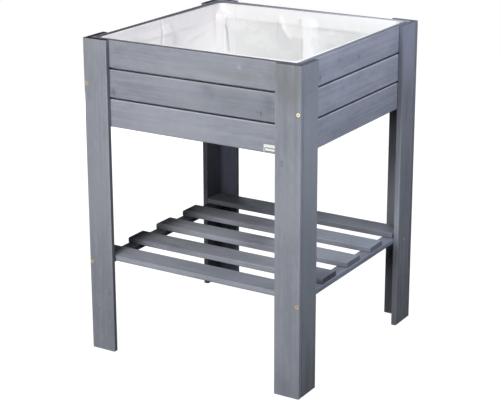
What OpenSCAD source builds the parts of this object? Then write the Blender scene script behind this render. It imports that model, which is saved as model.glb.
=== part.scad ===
// Raised garden bed: a square wooden planting box on four board legs, with a
// fleece liner and a slatted shelf. Units are millimetres. The origin is on the
// ground under the middle of the bed, +X runs to the right along the front,
// +Y runs to the back and +Z is up.

/* [Overall] */
// Outside width, across the faces of the legs.
bed_width = 600; // [520:10:680]
// Outside depth, from the front legs' faces to the back legs' faces.
bed_depth = 600; // [520:10:680]
// Height of the legs, which end level with the rim.
bed_height = 800; // [700:10:900]

/* [Boards] */
// Thickness of every planed board.
board_thickness = 14; // [12:0.5:18]
// Radius of the planed long edges.
edge_radius = 3; // [1:0.5:4]
// Width of each of the two boards of a leg.
leg_board_width = 68; // [62:1:80]
// Height of each wall board.
wall_board_height = 69; // [60:1:76]
// Gap between two wall boards.
wall_board_gap = 4; // [1:0.5:6]

/* [Battens] */
// Side of the square corner battens and floor bearers.
batten_size = 20; // [16:1:24]
// Width of the flat batten in the middle of each wall.
middle_batten_width = 30; // [24:1:40]
// Distance from the rim down to the tops of the battens.
batten_top_drop = 35; // [25:1:45]

/* [Floor] */
// Drainage gap between two floor boards.
floor_board_gap = 8; // [4:0.5:14]
// Play between the outer floor boards and the side walls, and at the ends.
floor_board_play = 3; // [1:0.5:5]

/* [Shelf] */
// Height of the underside of the shelf rails above the ground.
shelf_rail_underside = 225; // [150:5:350]
// Width of each shelf rail, which lies flat.
shelf_rail_width = 34; // [30:1:44]
// Width of each shelf slat.
shelf_slat_width = 66; // [56:1:72]
// Play between an outer slat's long edge and the leg behind it.
shelf_slat_play = 3; // [1:0.5:6]
// Setback of a slat's end from the outer face of its rail.
shelf_slat_setback = 2; // [1:0.5:6]

/* [Liner] */
// Thickness of the fleece.
liner_thickness = 2; // [1:0.5:3]
// Clearance between the fleece and the wood.
liner_clearance = 0.3; // [0.2:0.1:0.5]
// Distance from the rim down to the top edge of the fleece.
liner_rim_drop = 1; // [0.5:0.5:5]

/* [Screws] */
// Shank diameter of the screws in the outside of the legs.
leg_screw_diameter = 4.5; // [4:0.5:5]
// Head diameter of the screws in the outside of the legs.
leg_screw_head = 9; // [8:0.5:9]
// Depth of the screws that close a leg's corner in the second board.
edge_screw_bite = 26; // [20:1:26]
// Depth of the screws that hold a shelf rail in the rail.
rail_screw_bite = 24; // [18:1:26]
// Distance from the rim down to the upper screws of the legs.
upper_screw_drop = 111; // [90:1:120]
// Shank diameter of the hidden screws.
thin_screw_diameter = 3.5; // [3:0.5:4]
// Head diameter of the hidden screws.
thin_screw_head = 7; // [6:0.5:8]
// Wood left between a hidden screw's tip and the outside.
tip_cover = 3; // [2:0.5:4]
// Radial clearance of a screw in its hole.
screw_clearance = 0.1; // [0.05:0.05:0.15]
// Distance from a leg board's inner edge to the screws that hold the walls.
wall_screw_inset = 12; // [8:1:16]
// Half the height between two corner batten screws that cross.
crossing_half_gap = 6; // [5:0.5:8]
// Shift of a slat's screw from its middle, which clears the rail's screw.
slat_screw_shift = 16; // [12:1:20]

/* [Label] */
// Width of the blank label on the front wall.
label_width = 31; // [20:1:40]
// Height of the blank label.
label_height = 17; // [12:1:24]
// Thickness of the blank label.
label_thickness = 0.4; // [0.2:0.1:0.6]
// Distance from the label to the leg board beside it.
label_side_gap = 5; // [2:0.5:12]
// Distance from the label to the rounded edge below it.
label_edge_gap = 0.5; // [0:0.5:10]

/* [Hidden] */

$fn = 48;

// Outside half sizes.
half_width = bed_width / 2;
half_depth = bed_depth / 2;

// The walls lie behind the leg boards and are one board thick.
wall_outer_x = half_width - board_thickness;
wall_outer_y = half_depth - board_thickness;
wall_inner_x = wall_outer_x - board_thickness;
wall_inner_y = wall_outer_y - board_thickness;

// Wall boards, counted from the rim down.
wall_board_count = 3;
wall_pitch = wall_board_height + wall_board_gap;
wall_height = wall_board_count * wall_pitch - wall_board_gap;
wall_bottom = bed_height - wall_height;

// Floor: bearers level with the walls' lower edge, boards on the bearers.
floor_board_count = 7;
bearer_top = wall_bottom + batten_size;
floor_top = bearer_top + board_thickness;
floor_pitch = (2 * (wall_inner_x - floor_board_play) + floor_board_gap)
  / floor_board_count;
floor_board_width = floor_pitch - floor_board_gap;

// Battens stand on the floor.
batten_top = bed_height - batten_top_drop;
batten_length = batten_top - floor_top;

// Shelf: slats on top of two flat rails.
shelf_slat_count = 5;
rail_top = shelf_rail_underside + board_thickness;
rail_middle = shelf_rail_underside + board_thickness / 2;
rail_centre_x = wall_outer_x - shelf_rail_width / 2;
slat_length = 2 * (wall_outer_x - shelf_slat_setback);
slat_pitch = (2 * (wall_outer_y - shelf_slat_play) - shelf_slat_width)
  / (shelf_slat_count - 1);

// Screw lengths follow what they hold together.
edge_screw_length = board_thickness + edge_screw_bite;
rail_screw_length = board_thickness + rail_screw_bite;
two_board_length = 2 * board_thickness - tip_cover;
batten_screw_length = batten_size + board_thickness - tip_cover;
// Depth and width of the cross in a screw's head, and its arm's thickness.
cross_depth = 1.6;
cross_width = 0.5;
cross_arm = 1.1;

// Heights of the batten screws: in the middle of what each batten and wall
// board share.
function board_low(i) = bed_height - wall_board_height - i * wall_pitch;
function shared_middle(i) = (max(board_low(i), floor_top)
  + min(board_low(i) + wall_board_height, batten_top)) / 2;
function row_middle(i) = board_low(i) + wall_board_height / 2;

// Places of the floor boards and slats, counted from the left and the back.
function floor_x(i) = (i - (floor_board_count + 1) / 2) * floor_pitch;
function slat_y(i) = ((shelf_slat_count + 1) / 2 - i) * slat_pitch;

wood = [0.56, 0.58, 0.62];
dark_wood = [0.45, 0.47, 0.52];
raw_wood = [0.76, 0.66, 0.5];
fleece = [0.93, 0.93, 0.92];
zinc = [0.8, 0.68, 0.36];
paper = [0.97, 0.97, 0.97];

// Cross section of a planed board with rounded corners, about the origin.
module board_section(w, t) {
  r = min(edge_radius, min(w, t) / 2 - 0.5);
  square([w - 2 * r, t], center = true);
  square([w, t - 2 * r], center = true);
  for (a = [-1, 1], b = [-1, 1])
    translate([a * (w / 2 - r), b * (t / 2 - r)])
      circle(r = r);
}

// Board that stands upright: w along X, t along Y, from z = 0 up to h.
module upright(w, t, h) {
  linear_extrude(height = h)
    board_section(w, t);
}

// Board that lies along X about the origin: depth along Y, height along Z.
module along_x(l, depth, height) {
  rotate([90, 0, 90])
    translate([0, 0, -l / 2])
      linear_extrude(height = l)
        board_section(depth, height);
}

// Board that lies along Y about the origin: width along X, height along Z.
module along_y(l, width, height) {
  rotate([90, 0, 0])
    translate([0, 0, -l / 2])
      linear_extrude(height = l)
        board_section(width, height);
}

// Screw that points down -Z from the origin, with its head's face at z = 0.
module screw(d, head, l) {
  head_height = (head - d) / 2;
  difference() {
    union() {
      translate([0, 0, -head_height])
        cylinder(h = head_height, d1 = d, d2 = head);
      translate([0, 0, -l + d])
        cylinder(h = l - d - head_height / 2, d = d);
      translate([0, 0, -l])
        cylinder(h = d, d1 = 0.6, d2 = d);
    }
    for (a = [0, 90])
      rotate([0, 0, a])
        cube([head * cross_width, cross_arm, 2 * cross_depth], center = true);
  }
}

// Hole that a screw fills, with its clearance and an open mouth.
module screw_hole(d, head, l) {
  c = screw_clearance;
  head_height = (head - d) / 2;
  translate([0, 0, -head_height - c])
    cylinder(h = head_height + c, d1 = d + 2 * c, d2 = head + 2 * c);
  translate([0, 0, -l - c])
    cylinder(h = l, d = d + 2 * c);
  cylinder(h = 1, d = head + 2 * c);
}

// Turns a screw from -Z to the direction it is driven in.
module driven(way) {
  turn = way == "+X" ? [0, -90, 0]
    : way == "-X" ? [0, 90, 0]
    : way == "+Y" ? [90, 0, 0]
    : way == "-Y" ? [-90, 0, 0]
    : way == "+Z" ? [180, 0, 0]
    : [0, 0, 0];
  rotate(turn)
    children();
}

function out_x(s) = s > 0 ? "+X" : "-X";
function out_y(s) = s > 0 ? "+Y" : "-Y";
function in_x(s) = s > 0 ? "-X" : "+X";
function in_y(s) = s > 0 ? "-Y" : "+Y";

// Each list below holds a place and a direction for every screw of a group.
edge_screw_x = half_width - board_thickness / 2;
function edge_places(sx, sy) = [
  for (z = [bed_height - upper_screw_drop, rail_middle])
    [[sx * edge_screw_x, sy * half_depth, z], in_y(sy)]
];

rail_screw_y = wall_outer_y - leg_board_width / 2;
function rail_places(sx, sy) = [
  [[sx * half_width, sy * rail_screw_y, rail_middle], in_x(sx)]
];

face_screw_x = half_width - leg_board_width + wall_screw_inset;
side_screw_y = wall_outer_y - leg_board_width + wall_screw_inset;
function face_places(sx, sy, i) = [
  [[sx * face_screw_x, sy * wall_inner_y, row_middle(i)], out_y(sy)]
];
function side_places(sx, sy, i) = [
  [[sx * wall_inner_x, sy * side_screw_y, row_middle(i)], out_x(sx)]
];

corner_inner_x = wall_inner_x - batten_size;
corner_inner_y = wall_inner_y - batten_size;
corner_mid_x = wall_inner_x - batten_size / 2;
corner_mid_y = wall_inner_y - batten_size / 2;
function corner_x_places(sx, sy, i) = [
  [[sx * corner_inner_x, sy * corner_mid_y, shared_middle(i) - crossing_half_gap],
    out_x(sx)]
];
function corner_y_places(sx, sy, i) = [
  [[sx * corner_mid_x, sy * corner_inner_y, shared_middle(i) + crossing_half_gap],
    out_y(sy)]
];

function middle_x_places(sx, i) = [
  [[sx * (wall_inner_x - board_thickness), 0, shared_middle(i)], out_x(sx)]
];
function middle_y_places(sy, i) = [
  [[0, sy * (wall_inner_y - board_thickness), shared_middle(i)], out_y(sy)]
];

function bearer_places(sy) = [
  for (k = [-2.5, -0.5, 0.5, 2.5])
    [[k * floor_pitch, sy * corner_inner_y, wall_bottom + batten_size / 2],
      out_y(sy)]
];

function floor_places(i) = [
  for (sy = [-1, 1])
    [[floor_x(i), sy * corner_mid_y, floor_top], "-Z"]
];

function slat_places(i) = [
  for (sx = [-1, 1])
    [[sx * rail_centre_x, slat_y(i) - sign(slat_y(i)) * slat_screw_shift,
      shelf_rail_underside], "+Z"]
];

module screws_at(places, d, head, l) {
  for (p = places)
    translate(p[0])
      driven(p[1])
        screw(d, head, l);
}

module holes_at(places, d, head, l) {
  for (p = places)
    translate(p[0])
      driven(p[1])
        screw_hole(d, head, l);
}

module edge_holes(sx, sy) {
  holes_at(edge_places(sx, sy), leg_screw_diameter, leg_screw_head,
    edge_screw_length);
}

module rail_holes(sx, sy) {
  holes_at(rail_places(sx, sy), leg_screw_diameter, leg_screw_head,
    rail_screw_length);
}

module face_holes(sx, sy, i) {
  holes_at(face_places(sx, sy, i), thin_screw_diameter, thin_screw_head,
    two_board_length);
}

module side_holes(sx, sy, i) {
  holes_at(side_places(sx, sy, i), thin_screw_diameter, thin_screw_head,
    two_board_length);
}

module corner_x_holes(sx, sy, i) {
  holes_at(corner_x_places(sx, sy, i), thin_screw_diameter, thin_screw_head,
    batten_screw_length);
}

module corner_y_holes(sx, sy, i) {
  holes_at(corner_y_places(sx, sy, i), thin_screw_diameter, thin_screw_head,
    batten_screw_length);
}

module middle_x_holes(sx, i) {
  holes_at(middle_x_places(sx, i), thin_screw_diameter, thin_screw_head,
    two_board_length);
}

module middle_y_holes(sy, i) {
  holes_at(middle_y_places(sy, i), thin_screw_diameter, thin_screw_head,
    two_board_length);
}

module bearer_holes(sy) {
  holes_at(bearer_places(sy), thin_screw_diameter, thin_screw_head,
    batten_screw_length);
}

module floor_holes(i) {
  holes_at(floor_places(i), thin_screw_diameter, thin_screw_head,
    batten_screw_length);
}

module slat_holes(i) {
  holes_at(slat_places(i), thin_screw_diameter, thin_screw_head,
    two_board_length);
}

// Rows of wall boards that are screwed to the legs: the top and the bottom.
leg_rows = [0, wall_board_count - 1];

// Leg board on the front or back face, which covers the side board's edge.
module leg_face(sx, sy) {
  color(wood)
    difference() {
      translate([
        sx * (half_width - leg_board_width / 2),
        sy * (half_depth - board_thickness / 2),
        0
      ])
        upright(leg_board_width, board_thickness, bed_height);
      edge_holes(sx, sy);
      for (i = leg_rows)
        face_holes(sx, sy, i);
    }
}

// Leg board on the left or right side, which ends behind the face board.
module leg_side(sx, sy) {
  color(wood)
    difference() {
      translate([
        sx * (half_width - board_thickness / 2),
        sy * (wall_outer_y - leg_board_width / 2),
        0
      ])
        upright(board_thickness, leg_board_width, bed_height);
      edge_holes(sx, sy);
      rail_holes(sx, sy);
      for (i = leg_rows)
        side_holes(sx, sy, i);
    }
}

// Front or back wall board i, counted from the rim down.
module long_wall(sy, i) {
  color(wood)
    difference() {
      translate([
        0,
        sy * (wall_inner_y + board_thickness / 2),
        row_middle(i)
      ])
        along_x(2 * wall_outer_x, board_thickness, wall_board_height);
      for (sx = [-1, 1])
        corner_y_holes(sx, sy, i);
      middle_y_holes(sy, i);
      if (i != 1)
        for (sx = [-1, 1])
          face_holes(sx, sy, i);
      if (i == wall_board_count - 1)
        bearer_holes(sy);
    }
}

// Left or right wall board i, which fits between the front and back walls.
module short_wall(sx, i) {
  color(wood)
    difference() {
      translate([
        sx * (wall_inner_x + board_thickness / 2),
        0,
        row_middle(i)
      ])
        along_y(2 * wall_inner_y, board_thickness, wall_board_height);
      for (sy = [-1, 1])
        corner_x_holes(sx, sy, i);
      middle_x_holes(sx, i);
      if (i != 1)
        for (sy = [-1, 1])
          side_holes(sx, sy, i);
    }
}

module corner_batten(sx, sy) {
  color(raw_wood)
    difference() {
      translate([
        sx * corner_mid_x - batten_size / 2,
        sy * corner_mid_y - batten_size / 2,
        floor_top
      ])
        cube([batten_size, batten_size, batten_length]);
      for (i = [0 : wall_board_count - 1]) {
        corner_x_holes(sx, sy, i);
        corner_y_holes(sx, sy, i);
      }
    }
}

module middle_batten_y(sy) {
  color(raw_wood)
    difference() {
      translate([
        -middle_batten_width / 2,
        sy * (wall_inner_y - board_thickness / 2) - board_thickness / 2,
        floor_top
      ])
        cube([middle_batten_width, board_thickness, batten_length]);
      for (i = [0 : wall_board_count - 1])
        middle_y_holes(sy, i);
    }
}

module middle_batten_x(sx) {
  color(raw_wood)
    difference() {
      translate([
        sx * (wall_inner_x - board_thickness / 2) - board_thickness / 2,
        -middle_batten_width / 2,
        floor_top
      ])
        cube([board_thickness, middle_batten_width, batten_length]);
      for (i = [0 : wall_board_count - 1])
        middle_x_holes(sx, i);
    }
}

module floor_bearer(sy) {
  color(raw_wood)
    difference() {
      translate([
        -wall_inner_x,
        sy * corner_mid_y - batten_size / 2,
        wall_bottom
      ])
        cube([2 * wall_inner_x, batten_size, batten_size]);
      bearer_holes(sy);
      for (i = [1 : floor_board_count])
        floor_holes(i);
    }
}

module floor_board(i) {
  color(raw_wood)
    difference() {
      translate([floor_x(i), 0, floor_top - board_thickness / 2])
        along_y(2 * (wall_inner_y - floor_board_play), floor_board_width,
          board_thickness);
      floor_holes(i);
    }
}

// Inside of the box, drawn g smaller all round than its wood.
module box_outline(g) {
  square([2 * (wall_inner_x - g), 2 * (wall_inner_y - g)], center = true);
}

// The same, also clear of the corner and middle battens.
module batten_outline(g) {
  difference() {
    box_outline(g);
    for (sx = [-1, 1], sy = [-1, 1])
      translate([sx * corner_mid_x, sy * corner_mid_y])
        square(batten_size + 2 * g, center = true);
    for (sx = [-1, 1])
      translate([sx * (wall_inner_x - board_thickness / 2), 0])
        square([board_thickness + 2 * g, middle_batten_width + 2 * g],
          center = true);
    for (sy = [-1, 1])
      translate([0, sy * (wall_inner_y - board_thickness / 2)])
        square([middle_batten_width + 2 * g, board_thickness + 2 * g],
          center = true);
  }
}

// Open bag of fleece that follows the walls, the battens and the floor.
module fleece_bag() {
  outside = liner_clearance;
  inside = liner_clearance + liner_thickness;
  low = floor_top + liner_clearance;
  ledge = batten_top + liner_clearance;
  high = bed_height - liner_rim_drop;
  color(fleece)
    union() {
      translate([0, 0, low])
        linear_extrude(height = liner_thickness)
          batten_outline(outside);
      translate([0, 0, low])
        linear_extrude(height = ledge + liner_thickness - low)
          difference() {
            batten_outline(outside);
            batten_outline(inside);
          }
      translate([0, 0, ledge])
        linear_extrude(height = liner_thickness)
          difference() {
            box_outline(outside);
            batten_outline(inside);
          }
      translate([0, 0, ledge])
        linear_extrude(height = high - ledge)
          difference() {
            box_outline(outside);
            box_outline(inside);
          }
    }
}

module shelf_rail(sx) {
  color(dark_wood)
    difference() {
      translate([sx * rail_centre_x, 0, rail_middle])
        along_y(2 * wall_outer_y, shelf_rail_width, board_thickness);
      for (sy = [-1, 1])
        rail_holes(sx, sy);
      for (i = [1 : shelf_slat_count])
        slat_holes(i);
    }
}

module shelf_slat(i) {
  color(wood)
    difference() {
      translate([0, slat_y(i), rail_top + board_thickness / 2])
        along_x(slat_length, shelf_slat_width, board_thickness);
      slat_holes(i);
    }
}

module plain_label() {
  color(paper)
    translate([
      half_width - leg_board_width - label_side_gap - label_width,
      -wall_outer_y - label_thickness,
      wall_bottom + edge_radius + label_edge_gap
    ])
      cube([label_width, label_thickness, label_height]);
}

module edge_group() {
  color(zinc)
    for (sx = [-1, 1], sy = [-1, 1])
      screws_at(edge_places(sx, sy), leg_screw_diameter, leg_screw_head,
        edge_screw_length);
}

module rail_group() {
  color(zinc)
    for (sx = [-1, 1], sy = [-1, 1])
      screws_at(rail_places(sx, sy), leg_screw_diameter, leg_screw_head,
        rail_screw_length);
}

module wall_leg_group() {
  color(zinc)
    for (sx = [-1, 1], sy = [-1, 1], i = leg_rows) {
      screws_at(face_places(sx, sy, i), thin_screw_diameter, thin_screw_head,
        two_board_length);
      screws_at(side_places(sx, sy, i), thin_screw_diameter, thin_screw_head,
        two_board_length);
    }
}

module corner_group() {
  color(zinc)
    for (sx = [-1, 1], sy = [-1, 1], i = [0 : wall_board_count - 1]) {
      screws_at(corner_x_places(sx, sy, i), thin_screw_diameter,
        thin_screw_head, batten_screw_length);
      screws_at(corner_y_places(sx, sy, i), thin_screw_diameter,
        thin_screw_head, batten_screw_length);
    }
}

module middle_group() {
  color(zinc)
    for (s = [-1, 1], i = [0 : wall_board_count - 1]) {
      screws_at(middle_x_places(s, i), thin_screw_diameter, thin_screw_head,
        two_board_length);
      screws_at(middle_y_places(s, i), thin_screw_diameter, thin_screw_head,
        two_board_length);
    }
}

module bearer_group() {
  color(zinc)
    for (sy = [-1, 1])
      screws_at(bearer_places(sy), thin_screw_diameter, thin_screw_head,
        batten_screw_length);
}

module floor_group() {
  color(zinc)
    for (i = [1 : floor_board_count])
      screws_at(floor_places(i), thin_screw_diameter, thin_screw_head,
        batten_screw_length);
}

module slat_group() {
  color(zinc)
    for (i = [1 : shelf_slat_count])
      screws_at(slat_places(i), thin_screw_diameter, thin_screw_head,
        two_board_length);
}

module front_left_leg_face() { leg_face(-1, -1); }
module front_left_leg_side() { leg_side(-1, -1); }
module front_right_leg_face() { leg_face(1, -1); }
module front_right_leg_side() { leg_side(1, -1); }
module back_left_leg_face() { leg_face(-1, 1); }
module back_left_leg_side() { leg_side(-1, 1); }
module back_right_leg_face() { leg_face(1, 1); }
module back_right_leg_side() { leg_side(1, 1); }
module front_wall_top() { long_wall(-1, 0); }
module front_wall_middle() { long_wall(-1, 1); }
module front_wall_bottom() { long_wall(-1, 2); }
module back_wall_top() { long_wall(1, 0); }
module back_wall_middle() { long_wall(1, 1); }
module back_wall_bottom() { long_wall(1, 2); }
module left_wall_top() { short_wall(-1, 0); }
module left_wall_middle() { short_wall(-1, 1); }
module left_wall_bottom() { short_wall(-1, 2); }
module right_wall_top() { short_wall(1, 0); }
module right_wall_middle() { short_wall(1, 1); }
module right_wall_bottom() { short_wall(1, 2); }
module corner_batten_front_left() { corner_batten(-1, -1); }
module corner_batten_front_right() { corner_batten(1, -1); }
module corner_batten_back_left() { corner_batten(-1, 1); }
module corner_batten_back_right() { corner_batten(1, 1); }
module middle_batten_front() { middle_batten_y(-1); }
module middle_batten_back() { middle_batten_y(1); }
module middle_batten_left() { middle_batten_x(-1); }
module middle_batten_right() { middle_batten_x(1); }
module floor_bearer_front() { floor_bearer(-1); }
module floor_bearer_back() { floor_bearer(1); }
module floor_board_1() { floor_board(1); }
module floor_board_2() { floor_board(2); }
module floor_board_3() { floor_board(3); }
module floor_board_4() { floor_board(4); }
module floor_board_5() { floor_board(5); }
module floor_board_6() { floor_board(6); }
module floor_board_7() { floor_board(7); }
module fleece_liner() { fleece_bag(); }
module shelf_rail_left() { shelf_rail(-1); }
module shelf_rail_right() { shelf_rail(1); }
module shelf_slat_1() { shelf_slat(1); }
module shelf_slat_2() { shelf_slat(2); }
module shelf_slat_3() { shelf_slat(3); }
module shelf_slat_4() { shelf_slat(4); }
module shelf_slat_5() { shelf_slat(5); }
module blank_label() { plain_label(); }
module leg_edge_screws() { edge_group(); }
module shelf_rail_screws() { rail_group(); }
module wall_leg_screws() { wall_leg_group(); }
module corner_batten_screws() { corner_group(); }
module middle_batten_screws() { middle_group(); }
module bearer_screws() { bearer_group(); }
module floor_screws() { floor_group(); }
module shelf_slat_screws() { slat_group(); }

front_left_leg_face();
front_left_leg_side();
front_right_leg_face();
front_right_leg_side();
back_left_leg_face();
back_left_leg_side();
back_right_leg_face();
back_right_leg_side();
front_wall_top();
front_wall_middle();
front_wall_bottom();
back_wall_top();
back_wall_middle();
back_wall_bottom();
left_wall_top();
left_wall_middle();
left_wall_bottom();
right_wall_top();
right_wall_middle();
right_wall_bottom();
corner_batten_front_left();
corner_batten_front_right();
corner_batten_back_left();
corner_batten_back_right();
middle_batten_front();
middle_batten_back();
middle_batten_left();
middle_batten_right();
floor_bearer_front();
floor_bearer_back();
floor_board_1();
floor_board_2();
floor_board_3();
floor_board_4();
floor_board_5();
floor_board_6();
floor_board_7();
fleece_liner();
shelf_rail_left();
shelf_rail_right();
shelf_slat_1();
shelf_slat_2();
shelf_slat_3();
shelf_slat_4();
shelf_slat_5();
blank_label();
leg_edge_screws();
shelf_rail_screws();
wall_leg_screws();
corner_batten_screws();
middle_batten_screws();
bearer_screws();
floor_screws();
shelf_slat_screws();
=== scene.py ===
"""Looks of a raised garden bed: stained boards, a fleece liner and a slatted shelf.

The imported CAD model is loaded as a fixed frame. Its boards, battens and screws
stay as they are and get materials; the plain bag of the liner is replaced by a
real sheet of fleece. Lengths are metres in the frame of the CAD model, except
where a docstring says millimetres.
"""

import logging
import math
import random
from collections.abc import Callable
from dataclasses import dataclass
from enum import Enum
from functools import partial

import bmesh
import bpy
from mathutils import Matrix, Vector, noise


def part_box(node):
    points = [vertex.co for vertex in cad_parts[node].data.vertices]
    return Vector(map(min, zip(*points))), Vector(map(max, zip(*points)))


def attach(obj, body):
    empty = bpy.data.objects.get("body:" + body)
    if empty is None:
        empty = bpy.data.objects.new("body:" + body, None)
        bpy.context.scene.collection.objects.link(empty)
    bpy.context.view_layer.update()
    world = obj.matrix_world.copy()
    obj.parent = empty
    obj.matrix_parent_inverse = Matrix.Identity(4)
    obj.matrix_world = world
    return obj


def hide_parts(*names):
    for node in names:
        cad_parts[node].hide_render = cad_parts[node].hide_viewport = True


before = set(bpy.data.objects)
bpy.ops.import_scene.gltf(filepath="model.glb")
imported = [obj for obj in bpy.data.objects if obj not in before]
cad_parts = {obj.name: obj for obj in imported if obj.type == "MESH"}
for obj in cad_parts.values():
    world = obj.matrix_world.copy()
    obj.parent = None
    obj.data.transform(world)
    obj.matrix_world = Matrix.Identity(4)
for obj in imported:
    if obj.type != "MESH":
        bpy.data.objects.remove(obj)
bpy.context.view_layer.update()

LOG = logging.getLogger("garden_bed")
MM = 0.001
ROOT = "root"
CORNERS = ("front_left", "front_right", "back_left", "back_right")
SIDES = ("front", "back", "left", "right")
EASED = {"interpolation_type": "SMOOTHSTEP"}

Node = bpy.types.Node
Socket = bpy.types.NodeSocket
Feed = Node | Socket | str | float | tuple[float, ...] | None
Adder = Callable[..., Node]
Layers = list[tuple[Feed, Feed]]


class Grain(Enum):
    """Direction of a board's grain, as (along, across the face, through)."""

    X_FACE_Z = ("X", "Z", "Y")
    X_FACE_Y = ("X", "Y", "Z")
    Y_FACE_Z = ("Y", "Z", "X")
    Y_FACE_X = ("Y", "X", "Z")
    Z_FACE_X = ("Z", "X", "Y")
    Z_FACE_Y = ("Z", "Y", "X")


class Wall(Enum):
    """Wall of the planting box, counted the way the liner's rim runs."""

    FRONT = 0
    RIGHT = 1
    BACK = 2
    LEFT = 3


def linear(code: str) -> tuple[float, float, float, float]:
    """Turn an sRGB hex colour into the linear colour that a shader takes.

    Args:
        code: Six hex digits, such as "8F939C".

    Returns:
        Linear red, green and blue, and an alpha of 1.
    """
    channels = [int(code[i : i + 2], 16) / 255 for i in (0, 2, 4)]
    red, green, blue = (
        c / 12.92 if c <= 0.04045 else ((c + 0.055) / 1.055) ** 2.4
        for c in channels
    )
    return (red, green, blue, 1.0)


def smooth(value: float, low: float, high: float) -> float:
    """Rise smoothly from 0 at low to 1 at high."""
    share = min(1.0, max(0.0, (value - low) / (high - low)))
    return share * share * (3.0 - 2.0 * share)


def wave(
    spot: Vector,
    rate: float,
    layer: float,
    shift: tuple[float, float, float] = (0, 0, 0),
) -> float:
    """Give slow noise over the plan, about -1 to 1.

    Args:
        spot: Point in plan.
        rate: How often the noise swells in a metre.
        layer: Layer of the noise that is taken.
        shift: Where the noise starts.

    Returns:
        The noise.
    """
    return noise.noise(Vector((spot.x * rate, spot.y * rate, layer)) + Vector(shift))


def feed(socket: Socket, source: Feed) -> None:
    """Link an input to its source, or set it to a plain value.

    Args:
        socket: The input.
        source: A node, which gives its first output in use, or a socket, hex
            colour, number or vector. None leaves the input as it is.
    """
    if isinstance(source, Node):
        source = next(output for output in source.outputs if output.enabled)
    if isinstance(source, Socket):
        socket.id_data.links.new(source, socket)
    elif source is not None:
        socket.default_value = linear(source) if isinstance(source, str) else source


def add_node(
    tree: bpy.types.NodeTree, kind: str, *sources: Feed, **settings: object
) -> Node:
    """Add a shader node with its settings and the sources of its inputs.

    Args:
        tree: Node tree that takes the node.
        kind: The node's type name, without the ShaderNode in front.
        sources: What feeds the inputs in use, in their order.
        settings: Attributes of the node.

    Returns:
        The new node.
    """
    node = tree.nodes.new(f"ShaderNode{kind}")
    for name, value in settings.items():
        setattr(node, name, value)
    used = [socket for socket in node.inputs if socket.enabled]
    for socket, source in zip(used, sources):
        feed(socket, source)
    return node


def cleared(owner: bpy.types.Material | bpy.types.World) -> Adder:
    """Empty the node tree of a material or world, and give its add_node."""
    owner.use_nodes = True
    owner.node_tree.nodes.clear()
    return partial(add_node, owner.node_tree)


def blank_material(name: str) -> tuple[bpy.types.Material, Adder, Node]:
    """Make a material that holds only a Principled shader and its output.

    Args:
        name: Name of the material.

    Returns:
        The material, the function that adds a node to it, and its shader.
    """
    material = bpy.data.materials.new(name)
    add = cleared(material)
    shader = add("BsdfPrincipled")
    add("OutputMaterial", shader)
    return material, add, shader


def product(add: Adder, total: Feed, *factors: Feed) -> Feed:
    """Multiply values one after the other."""
    for factor in factors:
        total = add("Math", total, factor, operation="MULTIPLY")
    return total


def weighted(add: Adder, *terms: tuple[Feed, float]) -> Feed:
    """Add up values that each come in a pair with their weight."""
    total: Feed = 0.0
    for value, weight in terms:
        total = add("Math", value, weight, total, operation="MULTIPLY_ADD")
    return total


def squared(add: Adder, *legs: Feed) -> Feed:
    """Add up the squares of distances."""
    total: Feed = 0.0
    for leg in legs:
        total = add("Math", leg, leg, total, operation="MULTIPLY_ADD")
    return total


def distance(add: Adder, *legs: Feed) -> Node:
    """Add the length of a way whose legs stand square to each other."""
    return add("Math", squared(add, *legs), operation="SQRT")


def bell(add: Adder, sharpness: float, *legs: Feed) -> Node:
    """Add a value that is 1 where every leg is 0, and fades round it."""
    fall = product(add, squared(add, *legs), -sharpness)
    return add("Math", fall, operation="EXPONENT")


def layered(add: Adder, ground: Feed, layers: Layers) -> Feed:
    """Lay colours over a ground, each with the share that it covers.

    Args:
        add: Adds a node to the material.
        ground: The lowest colour.
        layers: Pairs of a colour and its share, from the lowest up.

    Returns:
        The finished colour.
    """
    for colour, share in layers:
        ground = add("Mix", share, ground, colour, data_type="RGBA")
    return ground


def stretched_noise(
    add: Adder,
    place: Feed,
    size: tuple[float, float, float],
    detail: float = 2.0,
    rough: float = 0.5,
) -> Node:
    """Add noise whose features have a real size along each axis.

    Args:
        add: Adds a node to the material.
        place: Position in metres.
        size: Size of the features along each axis, in millimetres.
        detail: Octaves of finer noise.
        rough: Strength of the finer noise.

    Returns:
        The noise, about 0 to 1.
    """
    scale = tuple(1 / (s * MM) for s in size)
    mapped = add("VectorMath", place, scale, operation="MULTIPLY")
    return add("TexNoise", mapped, 1.0, detail, rough)


def dress(piece: bpy.types.Object, material: bpy.types.Material) -> None:
    """Give every material slot of a piece the same material."""
    if not piece.data.materials:
        piece.data.materials.append(material)
    for slot in piece.material_slots:
        slot.material = material


def put_in_scene(name: str, data: bpy.types.ID) -> bpy.types.Object:
    """Make an object for a mesh, lamp or camera and link it to the scene."""
    made = bpy.data.objects.new(name, data)
    bpy.context.scene.collection.objects.link(made)
    return made


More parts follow.
